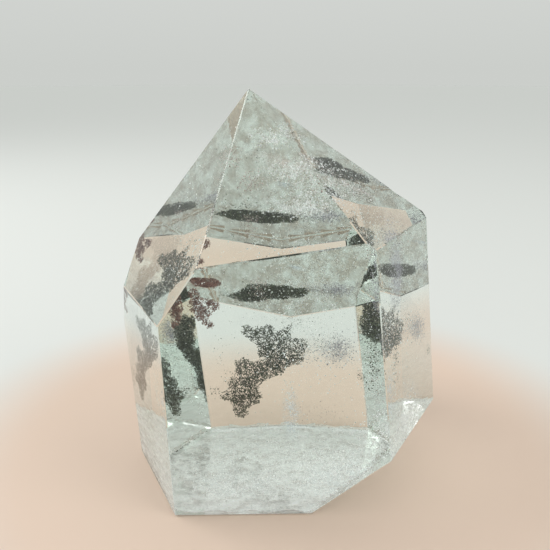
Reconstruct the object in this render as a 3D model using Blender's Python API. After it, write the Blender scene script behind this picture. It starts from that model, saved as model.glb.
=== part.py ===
# Phantom quartz: a ground and polished clear quartz point that stands on its flat base.
# Inside, close to its back, lies the phantom: dust of dark green chlorite that settled on
# an earlier face of the crystal, with a red-brown iron stained cloud above it.
# The quartz is one crystal. It is parted in two along the phantom, so that the clouds can
# lie in pockets as solids of their own. Millimetres are turned to metres by mm().

import math

import bmesh
import bpy
from mathutils import Matrix, Vector

# Driving dimensions, in millimetres. The origin is at the middle of the base, on the ground.
crystal_height = 76.0
blank_size = 160.0
edge_flat = 0.30
piece_gap = 0.30
phantom_depth = 22.0
cloud_grid = 0.85

# Each ground face: azimuth and tilt of its normal in degrees (azimuth 0 faces -Y, tilt 0
# faces up), and its distance from the crystal's middle in millimetres.
ground_faces = {
    "front prism": (1.2, 91.2, 28.13),
    "right prism": (57.2, 84.9, 29.28),
    "left prism": (-63.9, 92.0, 31.07),
    "back right prism": (112.0, 83.8, 23.92),
    "back left prism": (-113.0, 95.6, 28.53),
    "back prism, left plane": (-172.0, 90.6, 28.17),
    "back prism, right plane": (169.0, 90.6, 28.67),
    "front tip": (-5.8, 50.8, 29.85),
    "right tip": (54.2, 39.6, 28.93),
    "left tip": (-63.9, 58.6, 26.80),
    "back right tip": (114.0, 37.0, 25.48),
    "back left tip": (-120.0, 52.3, 24.38),
    "back tip": (178.0, 55.0, 16.91),
    "left shoulder": (-96.6, 79.3, 29.39),
    "oblique cut, lower right": (64.6, 138.8, 39.75),
    "base": (0.0, 180.0, crystal_height / 2),
}

# Lumps of a cloud along the phantom: x, z, radius in the layer, half thickness.
chlorite_lumps = (
    (-7.6, 25.0, 1.7, 0.9),
    (-5.4, 24.0, 2.3, 1.2),
    (-3.0, 24.4, 2.2, 1.2),
    (0.4, 22.6, 2.4, 1.3),
    (1.9, 25.2, 1.5, 0.8),
    (4.2, 21.4, 2.0, 1.1),
    (3.4, 18.6, 2.0, 1.3),
    (0.2, 18.6, 3.0, 1.6),
    (-2.8, 20.4, 2.8, 1.5),
    (-1.2, 16.4, 2.6, 1.5),
    (-4.4, 15.4, 2.8, 1.6),
    (-8.4, 16.4, 2.4, 1.2),
    (-7.2, 12.8, 2.8, 1.5),
    (-10.4, 12.6, 1.8, 1.0),
    (-6.4, 9.2, 2.4, 1.3),
    (-9.6, 8.8, 2.6, 1.3),
    (-12.4, 9.4, 1.6, 0.9),
    (-9.0, 5.8, 2.2, 1.2),
)
iron_lumps = (
    (-19.0, 33.4, 1.6, 0.8),
    (-18.6, 30.8, 2.0, 1.1),
    (-16.2, 30.6, 2.0, 1.2),
    (-14.6, 30.8, 1.6, 0.9),
    (-17.2, 28.2, 1.8, 1.0),
    (-15.8, 26.4, 1.4, 0.8),
)

# The bruise on the sharp edge between the right and back right tips.
chip_place = (22.0, -7.6, 57.1)
chip_half_size = (1.7, 0.75, 0.55)
chip_slope = 34.5


def mm(value):
    return value / 1000.0


def mm_vector(values):
    return Vector([mm(v) for v in values])


def clear_scene():
    for obj in list(bpy.data.objects):
        bpy.data.objects.remove(obj, do_unlink=True)


def make_material(name, color, roughness, alpha=1.0):
    material = bpy.data.materials.new(name)
    material.use_nodes = True
    shader = material.node_tree.nodes["Principled BSDF"]
    shader.inputs["Base Color"].default_value = (*color, 1.0)
    shader.inputs["Roughness"].default_value = roughness
    shader.inputs["Metallic"].default_value = 0.0
    shader.inputs["Alpha"].default_value = alpha
    material.diffuse_color = (*color, alpha)
    return material


def face_normal(azimuth, tilt):
    a = math.radians(azimuth)
    t = math.radians(tilt)
    return Vector((math.sin(a) * math.sin(t), -math.cos(a) * math.sin(t), math.cos(t)))


def grind(bm, point, normal):
    """Cuts away what lies beyond a plane and closes the cut with one flat face."""
    everything = bm.verts[:] + bm.edges[:] + bm.faces[:]
    cut = bmesh.ops.bisect_plane(
        bm, geom=everything, plane_co=point, plane_no=normal, dist=1e-7, clear_outer=True
    )
    rim = [e for e in cut["geom_cut"] if isinstance(e, bmesh.types.BMEdge)]
    if rim:
        bmesh.ops.contextual_create(bm, geom=rim)


def sharp_crystal():
    bm = bmesh.new()
    bmesh.ops.create_cube(bm, size=mm(blank_size))
    middle = mm_vector((0.0, 0.0, crystal_height / 2))
    for azimuth, tilt, distance in ground_faces.values():
        normal = face_normal(azimuth, tilt)
        grind(bm, middle + normal * mm(distance), normal)
    bm.normal_update()
    return bm


def break_edges(bm):
    """Takes a narrow polished flat off every edge, square to the bisector of its faces."""
    flats = []
    for edge in bm.edges:
        first, second = edge.link_faces
        turn = first.normal.angle(second.normal)
        bisector = (first.normal + second.normal).normalized()
        depth = mm(edge_flat) / 2 * math.tan(turn / 2)
        if depth > mm(0.01):
            flats.append((edge.verts[0].co - bisector * depth, bisector))
    for point, normal in flats:
        grind(bm, point, normal)


def clean_skin(bm, angle=0.2):
    """The same convex body again, with one face to each plane and no slivers."""
    bmesh.ops.remove_doubles(bm, verts=bm.verts[:], dist=mm(0.03))
    clean = bmesh.new()
    for vert in bm.verts:
        clean.verts.new(vert.co)
    bmesh.ops.convex_hull(clean, input=clean.verts[:])
    loose = [v for v in clean.verts if not v.link_faces]
    bmesh.ops.delete(clean, geom=loose, context="VERTS")
    bmesh.ops.dissolve_limit(
        clean, angle_limit=math.radians(angle), verts=clean.verts[:], edges=clean.edges[:]
    )
    bmesh.ops.recalc_face_normals(clean, faces=clean.faces[:])
    return clean


def add_object(name, mesh, material=None):
    obj = bpy.data.objects.new(name, mesh)
    bpy.context.scene.collection.objects.link(obj)
    if material:
        mesh.materials.append(material)
    return obj


def as_cutter(obj):
    obj.hide_render = True
    obj.display_type = "WIRE"
    return obj


def cloud(name, lumps, growth=0.0, material=None):
    """Lumps that run into each other along the phantom, joined into one skin."""
    bm = bmesh.new()
    for x, z, radius, thickness in lumps:
        place = Matrix.Translation(mm_vector((x, phantom_depth, z)))
        stretch = Matrix.Diagonal((1.0, (thickness + growth) / (radius + growth), 1.0, 1.0))
        bmesh.ops.create_icosphere(
            bm, subdivisions=3, radius=mm(radius + growth), matrix=place @ stretch
        )
    mesh = bpy.data.meshes.new(name)
    bm.to_mesh(mesh)
    bm.free()
    obj = add_object(name, mesh, material)
    skin = obj.modifiers.new("one skin", "REMESH")
    skin.mode = "VOXEL"
    skin.voxel_size = mm(cloud_grid)
    return obj


def subtract(obj, cutter):
    cut = obj.modifiers.new("cut " + cutter.name, "BOOLEAN")
    cut.operation = "DIFFERENCE"
    cut.solver = "EXACT"
    cut.object = cutter


def quartz_half(name, whole, side, material):
    """The crystal on one side of the phantom: side is -1 in front of it and +1 behind."""
    bm = whole.copy()
    plane = mm_vector((0.0, phantom_depth + side * piece_gap / 2, 0.0))
    grind(bm, plane, Vector((0.0, -side, 0.0)))
    bmesh.ops.recalc_face_normals(bm, faces=bm.faces[:])
    mesh = bpy.data.meshes.new(name)
    bm.to_mesh(mesh)
    bm.free()
    return add_object(name, mesh, material)


def make_chip():
    bm = bmesh.new()
    place = Matrix.Translation(mm_vector(chip_place))
    lean = Matrix.Rotation(math.radians(chip_slope), 4, "Y")
    stretch = Matrix.Diagonal((*chip_half_size, 1.0))
    bmesh.ops.create_icosphere(bm, subdivisions=2, radius=mm(1.0), matrix=place @ lean @ stretch)
    mesh = bpy.data.meshes.new("chip")
    bm.to_mesh(mesh)
    bm.free()
    return as_cutter(add_object("chip", mesh))


def build():
    clear_scene()
    clear_quartz = make_material("clear_quartz", (0.86, 0.90, 0.87), 0.03, 0.35)
    chlorite = make_material("chlorite", (0.045, 0.055, 0.038), 0.80)
    iron_stain = make_material("iron_stain", (0.205, 0.105, 0.085), 0.80)

    cloud("chlorite_phantom", chlorite_lumps, material=chlorite)
    cloud("iron_phantom", iron_lumps, material=iron_stain)
    pocket_growth = piece_gap * 1.5
    pockets = as_cutter(cloud("pockets", chlorite_lumps + iron_lumps, pocket_growth))

    ground = sharp_crystal()
    break_edges(ground)
    whole = clean_skin(ground)
    ground.free()
    front = quartz_half("quartz_front", whole, -1, clear_quartz)
    back = quartz_half("quartz_back", whole, 1, clear_quartz)
    whole.free()
    subtract(front, make_chip())
    subtract(front, pockets)
    subtract(back, pockets)


build()
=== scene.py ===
import math

import bmesh
import bpy
import numpy as np
from mathutils import Matrix, Vector, noise
from mathutils.bvhtree import BVHTree


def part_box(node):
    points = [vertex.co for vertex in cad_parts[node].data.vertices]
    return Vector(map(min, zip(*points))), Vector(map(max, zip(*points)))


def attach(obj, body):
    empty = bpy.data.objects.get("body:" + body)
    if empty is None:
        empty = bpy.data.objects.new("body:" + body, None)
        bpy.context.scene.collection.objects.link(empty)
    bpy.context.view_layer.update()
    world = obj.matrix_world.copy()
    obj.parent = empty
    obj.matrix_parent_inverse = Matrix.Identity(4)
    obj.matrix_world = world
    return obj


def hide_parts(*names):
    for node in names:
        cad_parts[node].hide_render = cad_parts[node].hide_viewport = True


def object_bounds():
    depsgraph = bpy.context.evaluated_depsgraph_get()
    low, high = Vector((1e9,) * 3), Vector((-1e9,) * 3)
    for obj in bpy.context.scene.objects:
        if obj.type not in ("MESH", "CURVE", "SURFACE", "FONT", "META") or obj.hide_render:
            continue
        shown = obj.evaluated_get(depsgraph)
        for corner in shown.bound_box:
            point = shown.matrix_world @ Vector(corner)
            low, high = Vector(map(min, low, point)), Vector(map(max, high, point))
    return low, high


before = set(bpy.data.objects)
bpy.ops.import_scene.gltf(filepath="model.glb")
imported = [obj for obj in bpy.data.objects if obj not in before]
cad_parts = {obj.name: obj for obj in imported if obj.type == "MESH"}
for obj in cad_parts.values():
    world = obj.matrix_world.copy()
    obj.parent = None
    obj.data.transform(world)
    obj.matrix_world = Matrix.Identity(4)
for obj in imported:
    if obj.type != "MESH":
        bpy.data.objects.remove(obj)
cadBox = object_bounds()
metresPerMm = 0.001
print("frame loaded")


def hexColor(code):
    # sRGB hex to linear red, green, blue and alpha.
    parts = [int(code[i:i + 2], 16) / 255 for i in (1, 3, 5)]
    linear = [c / 12.92 if c <= 0.04045 else ((c + 0.055) / 1.055) ** 2.4 for c in parts]
    return (*linear, 1.0)


def newMaterial(name):
    material = bpy.data.materials.new(name)
    material.use_nodes = True
    material.node_tree.nodes.clear()
    return material, material.node_tree


def addNode(tree, kind, settings=None, links=None):
    # Adds a node, sets its sockets and properties, and links other nodes' outputs to it.
    node = tree.nodes.new(kind)
    for key, value in (settings or {}).items():
        if key in node.inputs:
            node.inputs[key].default_value = value
        else:
            setattr(node, key, value)
    for key, output in (links or {}).items():
        tree.links.new(output, node.inputs[key])
    return node


def makeObject(name, mesh, material, slot=None):
    obj = bpy.data.objects.new(name, mesh)
    bpy.context.scene.collection.objects.link(obj)
    mesh.materials.append(material)
    if slot:
        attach(obj, "root")
    return obj


# Rock crystal, ground and polished: glass-clear, with a breath of grey-green in the thick parts.
quartzLook = {"ior": 1.544, "roughness": 0.012, "tint": "#DAEADF", "absorption": 9.0}


def rockCrystal():
    material, tree = newMaterial("rock_crystal_polished")
    surface = addNode(tree, "ShaderNodeBsdfPrincipled", {
        "Base Color": (1.0, 1.0, 1.0, 1.0), "Transmission Weight": 1.0,
        "IOR": quartzLook["ior"], "Roughness": quartzLook["roughness"]})
    inside = addNode(tree, "ShaderNodeVolumeAbsorption", {
        "Color": hexColor(quartzLook["tint"]), "Density": quartzLook["absorption"]})
    addNode(tree, "ShaderNodeOutputMaterial", None, {
        "Surface": surface.outputs["BSDF"], "Volume": inside.outputs["Volume"]})
    return material


# Where the pattern starts and stops changing from the dark to the light colour. It is
# a little coarser than the grains, so that neighbours share a tone.
dustRamp = {"dark": 0.38, "light": 0.66, "detail": 2.0}


def mineralDust(name, darkHex, lightHex, roughness, grainMm, paintedGlint=0.0):
    # Matt mineral grains that vary from grain to grain between two colours.
    # The last argument sets a painted glint: a white glow that stands in for the light a grain
    # throws back beyond what a matt one would.
    material, tree = newMaterial(name)
    place = addNode(tree, "ShaderNodeNewGeometry")
    grain = addNode(tree, "ShaderNodeTexNoise", {
        "Scale": 1 / (grainMm * metresPerMm), "Detail": dustRamp["detail"]},
        {"Vector": place.outputs["Position"]})
    ramp = addNode(tree, "ShaderNodeValToRGB", None, {"Fac": grain.outputs["Fac"]})
    ramp.color_ramp.elements[0].position = dustRamp["dark"]
    ramp.color_ramp.elements[1].position = dustRamp["light"]
    ramp.color_ramp.elements[0].color = hexColor(darkHex)
    ramp.color_ramp.elements[1].color = hexColor(lightHex)
    # Painted glint: the grains give off a little white light of their own.
    surface = addNode(tree, "ShaderNodeBsdfPrincipled", {
        "Roughness": roughness, "Emission Color": (1.0, 1.0, 1.0, 1.0),
        "Emission Strength": paintedGlint}, {"Base Color": ramp.outputs["Color"]})
    addNode(tree, "ShaderNodeOutputMaterial", None, {"Surface": surface.outputs["BSDF"]})
    return material


# Chlorite, a soft green mica-like mineral, settled as dust: dull, nearly black green in bulk.
chloriteDust = mineralDust("chlorite_dust", "#333C2A", "#6A7258", 0.7, 0.8)
# Iron oxide stain on a healed crack: dull red-brown, like dried clay.
ironDust = mineralDust("iron_oxide_dust", "#7C4A3E", "#BC8C7C", 0.7, 0.8)
# Healed cracks in the quartz: tiny flat mirrors, white, with a painted glint: they glow faintly
# white in place of the light they catch.
healedCrack = mineralDust("painted_glow_healed_crack_white", "#C9D2CE", "#FFFFFF", 0.25, 0.6, 0.24)
# The same cracks with a trace of iron: warm pink, with a fainter painted glint.
pinkCrack = mineralDust("painted_glow_healed_crack_pink", "#B08A86", "#EADCD6", 0.35, 0.6, 0.06)
# Cracks over a dark gap: cool violet grey, with a fainter painted glint.
violetCrack = mineralDust("painted_glow_healed_crack_violet", "#6F6A74", "#D8D6E0", 0.35, 0.6, 0.06)


# The clear crystal: its corners are merged and its flat faces joined within these limits
crystalSkin = {"mergeMm": 0.02, "flatDegrees": 0.25}
# The bruise on the right edge of the tip: its middle and half size in mm, its lean in degrees
chip = {"place": (22.0, -7.6, 57.1), "halfSize": (1.7, 0.75, 0.55), "lean": 34.5}


def clearCrystal():
    # One convex crystal through the outer corners of both halves, with the bruise cut in.
    bm = bmesh.new()
    for name in ("quartz_front", "quartz_back"):
        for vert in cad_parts[name].data.vertices:
            bm.verts.new(vert.co)
    bmesh.ops.remove_doubles(bm, verts=bm.verts[:], dist=crystalSkin["mergeMm"] * metresPerMm)
    bmesh.ops.convex_hull(bm, input=bm.verts[:])
    loose = [v for v in bm.verts if not v.link_faces]
    bmesh.ops.delete(bm, geom=loose, context="VERTS")
    bmesh.ops.dissolve_limit(bm, angle_limit=math.radians(crystalSkin["flatDegrees"]),
                             verts=bm.verts[:], edges=bm.edges[:])
    bmesh.ops.recalc_face_normals(bm, faces=bm.faces[:])
    mesh = bpy.data.meshes.new("quartz_point")
    bm.to_mesh(mesh)
    bm.free()
    crystal = makeObject("quartz_point", mesh, rockCrystal())

    cutterMesh = bmesh.new()
    place = Matrix.Translation(Vector(chip["place"]) * metresPerMm)
    lean = Matrix.Rotation(math.radians(chip["lean"]), 4, "Y")
    stretch = Matrix.Diagonal((*chip["halfSize"], 1.0))
    bmesh.ops.create_icosphere(cutterMesh, subdivisions=3, radius=metresPerMm,
                               matrix=place @ lean @ stretch)
    mesh = bpy.data.meshes.new("bruise")
    cutterMesh.to_mesh(mesh)
    cutterMesh.free()
    cutter = bpy.data.objects.new("bruise", mesh)
    bpy.context.scene.collection.objects.link(cutter)
    bite = crystal.modifiers.new("bruise", "BOOLEAN")
    bite.object = cutter
    bite.operation = "DIFFERENCE"
    bpy.context.view_layer.update()
    finished = bpy.data.meshes.new_from_object(
        crystal.evaluated_get(bpy.context.evaluated_depsgraph_get()))
    crystal.modifiers.clear()
    crystal.data = finished
    bpy.data.objects.remove(cutter)
    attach(crystal, "root")
    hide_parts("quartz_front", "quartz_back")
    return crystal


crystal = clearCrystal()
crystalTree = BVHTree.FromObject(crystal, bpy.context.evaluated_depsgraph_get())
print("clear crystal made")


def depthInside(tree, point):
    # How far a point lies inside a closed skin, in millimetres; negative outside.
    spot, normal, _, distance = tree.find_nearest(point)
    side = (Vector(point) - spot).dot(normal)
    return (distance if side < 0 else -distance) / metresPerMm


mostWalls = 20
hairAbove = 1e-6  # metres, so that a ray doesn't meet the wall it starts from again


def insideSkin(tree, point):
    # An odd number of walls on the way up means that the point is inside.
    walls = 0
    start = Vector(point)
    while walls < mostWalls:
        hit = tree.ray_cast(start, Vector((0.0, 0.0, 1.0)))[0]
        if hit is None:
            break
        walls += 1
        start = hit + Vector((0.0, 0.0, hairAbove))
    return walls % 2 == 1


# A flake starts as an octahedron of unit half size
octahedron = np.array([(1, 0, 0), (-1, 0, 0), (0, 1, 0),
                       (0, -1, 0), (0, 0, 1), (0, 0, -1)], float)
octaFaces = np.array([(0, 2, 4), (2, 1, 4), (1, 3, 4), (3, 0, 4),
                      (2, 0, 5), (1, 2, 5), (3, 1, 5), (0, 3, 5)])


flakeShape = {"width": 0.75, "unevenness": (0.7, 1.25)}


def flakeCloud(name, points, sizes, flatness, material, slot, rng):
    # Joins one small uneven flake at each point into one mesh. Points and sizes are in mm.
    count = len(points)
    quats = rng.normal(size=(count, 4))
    quats /= np.linalg.norm(quats, axis=1)[:, None]
    w, x, y, z = quats.T
    turns = np.stack([
        1 - 2 * (y * y + z * z), 2 * (x * y - z * w), 2 * (x * z + y * w),
        2 * (x * y + z * w), 1 - 2 * (x * x + z * z), 2 * (y * z - x * w),
        2 * (x * z - y * w), 2 * (y * z + x * w), 1 - 2 * (x * x + y * y)],
        axis=1).reshape(count, 3, 3)
    shape = octahedron[None] * np.array([1.0, flakeShape["width"], flatness])
    shape = shape * rng.uniform(*flakeShape["unevenness"], size=(count, len(octahedron), 1))
    corners = np.einsum("nij,nkj->nki", turns, shape) * np.asarray(sizes)[:, None, None] / 2
    corners = (corners + np.asarray(points)[:, None]) * metresPerMm
    faces = octaFaces[None] + len(octahedron) * np.arange(count)[:, None, None]
    mesh = bpy.data.meshes.new(name)
    mesh.from_pydata(corners.reshape(-1, 3).tolist(), [], faces.reshape(-1, 3).tolist())
    mesh.update()
    return makeObject(name, mesh, material, slot)


def pointsInNode(node, tries, rng, clumpMm, keepAbove):
    # Random points inside a CAD cloud, thinned in clumps so that it looks like dust.
    tree = BVHTree.FromObject(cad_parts[node], bpy.context.evaluated_depsgraph_get())
    low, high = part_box(node)
    chosen = []
    for spot in rng.uniform(low, high, size=(tries, 3)):
        if not insideSkin(tree, spot):
            continue
        if noise.noise(Vector(spot) / (clumpMm * metresPerMm)) > keepAbove:
            chosen.append(spot / metresPerMm)
    return np.array(chosen)


rng = np.random.default_rng(7)

# The phantom: chlorite dust in clumps that fill the cloud. tries is how many points are
# thrown at the cloud's box, and one is kept where the clump noise, which runs from -1 to 1,
# is above keepAbove. Real chlorite dust is finer: the grains are drawn this coarse to show.
phantomGrains = {"tries": 44000, "clumpMm": 0.9, "keepAbove": -0.28,
                 "sizeMm": (0.14, 0.46), "flatness": 0.5}
spots = pointsInNode("chlorite_phantom", phantomGrains["tries"], rng,
                     phantomGrains["clumpMm"], phantomGrains["keepAbove"])
sizes = rng.uniform(*phantomGrains["sizeMm"], size=len(spots))
phantom = flakeCloud("chlorite_grains", spots, sizes, phantomGrains["flatness"],
                     chloriteDust, "chlorite", rng)
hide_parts("chlorite_phantom")
print("chlorite phantom made,", len(spots), "grains")

# The red-brown cloud above it
ironGrains = {"tries": 9000, "clumpMm": 1.0, "keepAbove": -0.15,
              "sizeMm": (0.16, 0.42), "flatness": 0.5}
spots = pointsInNode("iron_phantom", ironGrains["tries"], rng, ironGrains["clumpMm"],
                     ironGrains["keepAbove"])
sizes = rng.uniform(*ironGrains["sizeMm"], size=len(spots))
ironCloud = flakeCloud("iron_grains", spots, sizes, ironGrains["flatness"],
                       ironDust, "iron_stain", rng)
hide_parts("iron_phantom")
print("iron cloud made,", len(spots), "grains")


# Loose swarms of flakes: middle and half size of each in mm, number of flakes, size range
chloriteSwarms = (
    ((-15.0, 22.0, 10.5), (1.4, 0.8, 1.6), 40, (0.15, 0.45)),
    ((-13.5, 22.0, 19.0), (2.2, 0.8, 4.0), 34, (0.12, 0.40)),
    ((-12.0, 22.0, 13.0), (1.6, 0.9, 4.0), 60, (0.12, 0.40)),
    ((17.8, 21.5, 14.2), (1.0, 0.8, 1.6), 80, (0.12, 0.36)),
    ((3.0, 22.0, 27.0), (3.4, 0.8, 1.6), 90, (0.12, 0.36)),
    ((9.0, 21.6, 22.0), (4.0, 1.0, 2.6), 150, (0.12, 0.34)),
    ((-8.5, 22.0, 33.0), (1.0, 0.8, 1.6), 20, (0.12, 0.36)),
    ((-4.0, 8.0, 57.0), (3.4, 3.0, 1.2), 150, (0.12, 0.40)),
    ((-7.0, -6.0, 51.0), (5.0, 3.0, 1.4), 190, (0.12, 0.40)),
    ((11.0, -5.0, 53.0), (4.0, 2.4, 2.0), 150, (0.12, 0.40)),
    ((17.0, -14.5, 30.5), (1.4, 2.4, 7.0), 420, (0.14, 0.50)),
)
crackSwarms = (
    ((0.0, -4.0, 1.6), (26.0, 20.0, 1.6), 4200, (0.15, 0.60)),
    ((12.0, -16.0, 5.0), (12.0, 9.0, 3.6), 2600, (0.15, 0.60)),
    ((21.0, -14.0, 12.0), (6.0, 6.0, 5.0), 1500, (0.15, 0.60)),
    ((-6.0, -20.0, 3.0), (9.0, 5.0, 2.4), 1100, (0.15, 0.55)),
    ((2.0, 20.0, 8.0), (1.6, 2.0, 7.0), 260, (0.15, 0.50)),
    ((4.0, 12.0, 30.0), (12.0, 9.0, 9.0), 900, (0.14, 0.60)),
    ((10.0, -8.0, 30.0), (12.0, 10.0, 14.0), 700, (0.12, 0.50)),
    ((9.0, 20.6, 22.0), (5.6, 1.2, 3.4), 520, (0.12, 0.42)),
    ((-1.0, 20.6, 22.0), (5.0, 1.0, 3.0), 90, (0.15, 0.50)),
    ((-1.0, -7.0, 65.5), (4.0, 3.5, 1.6), 300, (0.16, 0.60)),
    ((3.5, -11.0, 60.0), (6.0, 4.0, 2.0), 560, (0.16, 0.60)),
    ((4.5, -13.0, 53.5), (6.0, 4.0, 1.6), 560, (0.16, 0.60)),
    ((9.0, -10.0, 56.0), (7.0, 4.0, 3.6), 560, (0.14, 0.55)),
    ((0.0, 0.0, 36.0), (26.0, 24.0, 34.0), 1500, (0.10, 0.42)),
)
pinkSwarms = (
    ((-4.6, 22.0, 34.0), (2.0, 1.0, 3.0), 200, (0.12, 0.40)),
    ((-7.9, -10.0, 63.0), (1.6, 2.0, 2.4), 160, (0.12, 0.36)),
    ((-5.1, -10.0, 58.0), (2.6, 3.0, 2.0), 220, (0.12, 0.40)),
    ((9.0, -9.0, 56.0), (6.0, 4.0, 3.0), 420, (0.10, 0.36)),
    ((17.5, -11.0, 50.0), (3.0, 3.0, 3.0), 320, (0.10, 0.36)),
    ((8.0, 20.0, 5.0), (9.0, 1.6, 4.0), 260, (0.12, 0.40)),
    ((18.5, -16.0, 24.0), (2.0, 2.6, 5.0), 160, (0.10, 0.36)),
)
violetSwarms = (
    ((12.2, 21.0, 20.6), (4.0, 1.4, 3.4), 1200, (0.14, 0.46)),
    ((18.0, -16.5, 44.5), (2.8, 3.4, 7.0), 1300, (0.12, 0.46)),
    ((5.6, 21.0, 19.6), (2.0, 1.0, 2.6), 160, (0.12, 0.40)),
)


# A swarm is thickest at its middle, and small flakes are far more common than large ones
swarmShape = {"spread": 0.5, "reach": 1.2, "smallness": 2.2, "marginMm": 0.6}


def swarmPiece(name, swarms, flatness, material, slot):
    # All the swarms of one mineral in one mesh.
    spots, sizes = [], []
    for middle, half, count, sizeRange in swarms:
        spread = rng.normal(size=(count, 3)) * swarmShape["spread"]
        spread = np.clip(spread, -swarmShape["reach"], swarmShape["reach"])
        spots.append(np.array(middle) + spread * np.array(half))
        share = rng.random(count) ** swarmShape["smallness"]
        sizes.append(sizeRange[0] + (sizeRange[1] - sizeRange[0]) * share)
    spots = np.concatenate(spots)
    sizes = np.concatenate(sizes)
    depths = np.array([depthInside(crystalTree, Vector(p) * metresPerMm) for p in spots])
    keep = depths > swarmShape["marginMm"]
    flakeCloud(name, spots[keep], sizes[keep], flatness, material, slot, rng)
    print(name, "made,", int(keep.sum()), "flakes")


# The foot of the crystal is milky: a thin layer of healed cracks just above the base, which glows
# a little with painted light like the veils.
milk = {"heightMm": 0.7, "marginMm": 0.15, "stepMm": 0.8, "rippleMm": 0.25,
        "ripplesPerMetre": (900, 700), "tint": "#F6F8F5", "cover": (0.35, 1.0), "patchMm": 3.0}

# The veils glow a little with painted light, standing in for the light from all round that the
# many layers of a real veil catch.
veilLook = {"paintedGlow": 0.20, "roughness": 0.6, "patchDetail": 8.0, "patchRoughness": 0.72,
            "patchStart": 0.42, "patchFull": 0.62}


def crackVeil(name, tint, thinnest, thickest, patchMm):
    # A healed crack seen as a veil: patches of thin colour over clear, which also glow in that
    # colour with painted light.
    material, tree = newMaterial(name)
    place = addNode(tree, "ShaderNodeNewGeometry")
    patches = addNode(tree, "ShaderNodeTexNoise", {
        "Scale": 1 / (patchMm * metresPerMm), "Detail": veilLook["patchDetail"],
        "Roughness": veilLook["patchRoughness"]},
        {"Vector": place.outputs["Position"]})
    cover = addNode(tree, "ShaderNodeMapRange", {
        "From Min": veilLook["patchStart"], "From Max": veilLook["patchFull"],
        "To Min": thinnest, "To Max": thickest},
        {"Value": patches.outputs["Fac"]})
    rim = addNode(tree, "ShaderNodeAttribute", {"attribute_name": "rimFade"})
    faded = addNode(tree, "ShaderNodeMath", {"operation": "MULTIPLY"},
                    {0: cover.outputs["Result"], 1: rim.outputs["Fac"]})
    # Painted glow: the veil gives off light of its own in its tint.
    surface = addNode(tree, "ShaderNodeBsdfPrincipled", {
        "Base Color": hexColor(tint), "Roughness": veilLook["roughness"],
        "Emission Color": hexColor(tint), "Emission Strength": veilLook["paintedGlow"]},
        {"Alpha": faded.outputs["Value"]})
    addNode(tree, "ShaderNodeOutputMaterial", None, {"Surface": surface.outputs["BSDF"]})
    return material


def milkyFoot():
    # A rippled sheet that fills the crystal's section a little above its base.
    low, high = cadBox
    bm = bmesh.new()
    columns = int((high[0] - low[0]) / (milk["stepMm"] * metresPerMm))
    rows = int((high[1] - low[1]) / (milk["stepMm"] * metresPerMm))
    bmesh.ops.create_grid(bm, x_segments=columns, y_segments=rows, size=0.5)
    for vert in bm.verts:
        across = low[0] + (vert.co.x + 0.5) * (high[0] - low[0])
        along = low[1] + (vert.co.y + 0.5) * (high[1] - low[1])
        wavesAcross, wavesAlong = milk["ripplesPerMetre"]
        ripple = math.sin(across * wavesAcross) * math.cos(along * wavesAlong)
        vert.co = (across, along, (milk["heightMm"] + milk["rippleMm"] * ripple) * metresPerMm)
    outside = [v for v in bm.verts if depthInside(crystalTree, v.co) < milk["marginMm"]]
    bmesh.ops.delete(bm, geom=outside, context="VERTS")
    rimFade = bm.verts.layers.float.new("rimFade")
    for vert in bm.verts:
        vert[rimFade] = 1.0
    mesh = bpy.data.meshes.new("milky_foot")
    bm.to_mesh(mesh)
    bm.free()
    veil = crackVeil("painted_glow_healed_crack_milk", milk["tint"], *milk["cover"], milk["patchMm"])
    makeObject("milky_foot", mesh, veil, "clear_quartz")


milkyFoot()

# Veils of healed cracks. Each has its middle, its width and height in mm, its turns about
# X, Y and Z in degrees, its tint, and its cover between patches and in them.
veils = {
    # Partly a healed-crack veil, partly a painted reflection of the room in the lower right cut
    # face.
    "veil_and_painted_reflection_foot_right": ((14.0, -17.5, 5.0), (26.0, 13.0), (28, -16, 0), "#F4FBFB", (0.0, 0.75)),
    "veil_foot_left": ((-9.0, -18.0, 4.0), (20.0, 12.0), (22, 8, 0), "#EEF7F5", (0.0, 0.50)),
    # Partly a healed-crack veil, partly a painted reflection of the room in the lower right cut
    # face.
    "veil_and_painted_reflection_right_corner": ((21.5, -14.0, 15.5), (15.0, 13.0), (70, 0, 57), "#F4FAFB", (0.0, 0.60)),
    "veil_middle": ((2.5, 14.0, 7.0), (5.0, 15.0), (84, 0, 30), "#DDE6F2", (0.0, 0.60)),
    "veil_tip_arc": ((1.0, -9.0, 61.0), (15.0, 9.0), (-48, 18, 0), "#E8D8D4", (0.0, 0.50)),
    "veil_tip_low": ((4.0, -12.5, 53.0), (18.0, 8.0), (-14, 12, 0), "#E9EEEE", (0.0, 0.45)),
    "veil_tip_right": ((12.0, -8.0, 54.5), (14.0, 8.0), (-30, 30, 0), "#E2CFC9", (0.0, 0.45)),
    "veil_violet_band": ((12.0, 21.2, 20.6), (8.5, 7.5), (90, 0, 0), "#A8A3AE", (0.0, 0.55)),
    "veil_violet_right": ((18.0, -16.5, 44.0), (6.5, 15.0), (90, 0, 57), "#C6C6DA", (0.0, 0.60)),
}


veilSheet = {"steps": 36, "marginMm": 0.4, "fadePower": 1.2, "patchMm": 2.2}


# Two slow waves, with heights in mm and rates in radians per mm
veilWaves = {"acrossHeight": 0.5, "acrossRate": 0.8,
             "alongHeight": 0.4, "alongRate": 0.9, "alongSkew": 0.3}


def veilRipple(across, along):
    # How far the waves lift a veil, at a place on it in mm.
    acrossWave = math.sin(across * veilWaves["acrossRate"])
    alongWave = math.cos(along * veilWaves["alongRate"] + across * veilWaves["alongSkew"])
    return veilWaves["acrossHeight"] * acrossWave + veilWaves["alongHeight"] * alongWave


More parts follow.
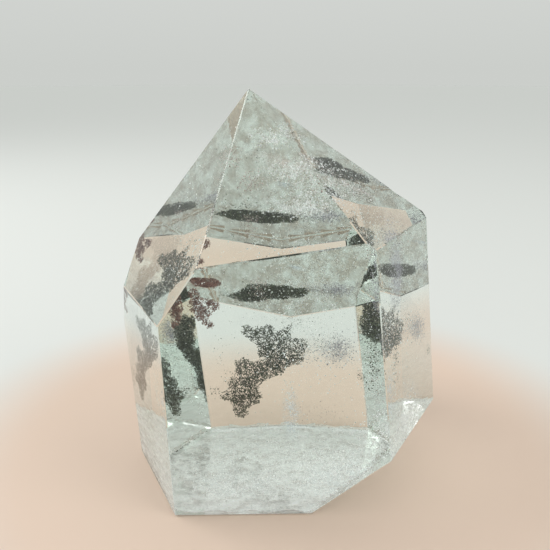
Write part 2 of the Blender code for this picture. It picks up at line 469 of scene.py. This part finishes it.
def makeVeil(name, middle, size, turns, tint, cover):
    # A gently rippled sheet inside the crystal, trimmed where it would come out of it.
    bm = bmesh.new()
    bmesh.ops.create_grid(bm, x_segments=veilSheet["steps"], y_segments=veilSheet["steps"],
                          size=0.5)
    turn = Matrix.Rotation(math.radians(turns[2]), 4, "Z")
    turn = turn @ Matrix.Rotation(math.radians(turns[1]), 4, "Y")
    turn = turn @ Matrix.Rotation(math.radians(turns[0]), 4, "X")
    rimFade = bm.verts.layers.float.new("rimFade")
    for vert in bm.verts:
        fromMiddle = min(1.0, 2 * math.hypot(vert.co.x, vert.co.y))
        vert[rimFade] = (1 - fromMiddle ** 2) ** veilSheet["fadePower"]
        across, along = vert.co.x * size[0], vert.co.y * size[1]
        spot = Vector((across, along, veilRipple(across, along)))
        vert.co = (Vector(middle) + turn @ spot) * metresPerMm
    outside = [v for v in bm.verts if depthInside(crystalTree, v.co) < veilSheet["marginMm"]]
    bmesh.ops.delete(bm, geom=outside, context="VERTS")
    rim = [v for v in bm.verts if not v.link_faces]
    bmesh.ops.delete(bm, geom=rim, context="VERTS")
    mesh = bpy.data.meshes.new(name)
    bm.to_mesh(mesh)
    bm.free()
    material = crackVeil("painted_glow_healed_crack_" + name, tint, *cover, veilSheet["patchMm"])
    makeObject(name, mesh, material, "clear_quartz")


for name, settings in veils.items():
    makeVeil(name, *settings)
print("milky foot and veils made")

swarmPiece("chlorite_specks", chloriteSwarms, 0.5, chloriteDust, "chlorite")
swarmPiece("crack_flakes_white", crackSwarms, 0.16, healedCrack, "clear_quartz")
swarmPiece("crack_flakes_pink", pinkSwarms, 0.2, pinkCrack, "clear_quartz")
swarmPiece("crack_flakes_violet", violetSwarms, 0.2, violetCrack, "clear_quartz")


# Floor, light and camera
room = {"floorWarm": "#E0C9B7", "floorCool": "#DCDEDA", "warmRadiusMm": 54.0,
        "coolRadiusMm": 88.0, "floorRadius": 3.0, "floorRoughness": 0.9, "airGapMm": 0.25,
        "skyAtHorizon": "#D3D6D2", "skyOverhead": "#F6F8F7", "overheadFrom": 0.7,
        "skyStrength": 0.92}


def makeFloor():
    # A wide round card. The air gap keeps it from lying in the crystal's own base.
    material, tree = newMaterial("matt_card_floor")
    place = addNode(tree, "ShaderNodeNewGeometry")
    reach = addNode(tree, "ShaderNodeVectorMath", {"operation": "LENGTH"},
                    {0: place.outputs["Position"]})
    fade = addNode(tree, "ShaderNodeMapRange", {
        "interpolation_type": "SMOOTHSTEP",
        "From Min": room["warmRadiusMm"] * metresPerMm,
        "From Max": room["coolRadiusMm"] * metresPerMm},
        {"Value": reach.outputs["Value"]})
    tone = addNode(tree, "ShaderNodeValToRGB", None, {"Fac": fade.outputs["Result"]})
    tone.color_ramp.elements[0].color = hexColor(room["floorWarm"])
    tone.color_ramp.elements[1].color = hexColor(room["floorCool"])
    surface = addNode(tree, "ShaderNodeBsdfPrincipled", {"Roughness": room["floorRoughness"]},
                      {"Base Color": tone.outputs["Color"]})
    addNode(tree, "ShaderNodeOutputMaterial", None, {"Surface": surface.outputs["BSDF"]})
    bm = bmesh.new()
    bmesh.ops.create_circle(bm, cap_ends=True, segments=96, radius=room["floorRadius"])
    mesh = bpy.data.meshes.new("floor")
    bm.to_mesh(mesh)
    bm.free()
    floor = makeObject("floor", mesh, material)
    floor.location.z = -room["airGapMm"] * metresPerMm


makeFloor()
world = bpy.data.worlds.new("soft_room")
world.use_nodes = True
skyTree = world.node_tree
background = skyTree.nodes["Background"]
background.inputs["Strength"].default_value = room["skyStrength"]
skyPlace = addNode(skyTree, "ShaderNodeTexCoord")
skyHeight = addNode(skyTree, "ShaderNodeSeparateXYZ", None,
                    {"Vector": skyPlace.outputs["Generated"]})
skyTone = addNode(skyTree, "ShaderNodeValToRGB", None, {"Fac": skyHeight.outputs["Z"]})
skyTone.color_ramp.elements[0].color = hexColor(room["skyAtHorizon"])
skyTone.color_ramp.elements[1].color = hexColor(room["skyOverhead"])
skyTone.color_ramp.elements[1].position = room["overheadFrom"]
skyTree.links.new(skyTone.outputs["Color"], background.inputs["Color"])
bpy.context.scene.world = world


# Two soft square lights, in metres and watts
lights = {
    "window_left": {"place": (-0.45, 0.10, 0.40), "size": 0.35, "power": 1.2},
    "window_right": {"place": (0.40, -0.25, 0.45), "size": 0.30, "power": 0.5},
}
lightTarget = Vector((0.0, 0.0, 0.038))


def areaLight(name, place, size, power):
    # A soft square light aimed at the crystal's middle.
    data = bpy.data.lights.new(name, "AREA")
    data.size = size
    data.energy = power
    lamp = bpy.data.objects.new(name, data)
    bpy.context.scene.collection.objects.link(lamp)
    lamp.location = place
    toMiddle = lightTarget - Vector(place)
    lamp.rotation_euler = toMiddle.to_track_quat("-Z", "Y").to_euler()


for name, settings in lights.items():
    areaLight(name, **settings)

# The photograph's own view, from about one and a half crystal heights in front of the tip
lens = {"focalMm": 41.9, "sensorMm": 36.0, "place": (-0.92, -127.43, 79.65),
        "downDegrees": 18.0, "nearestMm": 5.0}
cameraData = bpy.data.cameras.new("camera")
cameraData.lens = lens["focalMm"]
cameraData.sensor_width = lens["sensorMm"]
cameraData.clip_start = lens["nearestMm"] * metresPerMm
camera = bpy.data.objects.new("camera", cameraData)
camera.location = Vector(lens["place"]) * metresPerMm
camera.rotation_euler = (math.radians(90 - lens["downDegrees"]), 0.0, 0.0)
bpy.context.scene.collection.objects.link(camera)
bpy.context.scene.camera = camera

# Light crosses many faces inside the crystal, so its path is followed for many bounces
cycles = bpy.context.scene.cycles
cycles.max_bounces = 28
cycles.transmission_bounces = 24
cycles.glossy_bounces = 12
cycles.transparent_max_bounces = 16
cycles.caustics_refractive = True
cycles.use_denoising = True
bpy.context.scene.view_settings.view_transform = "Standard"
print("stage, lights and camera set")
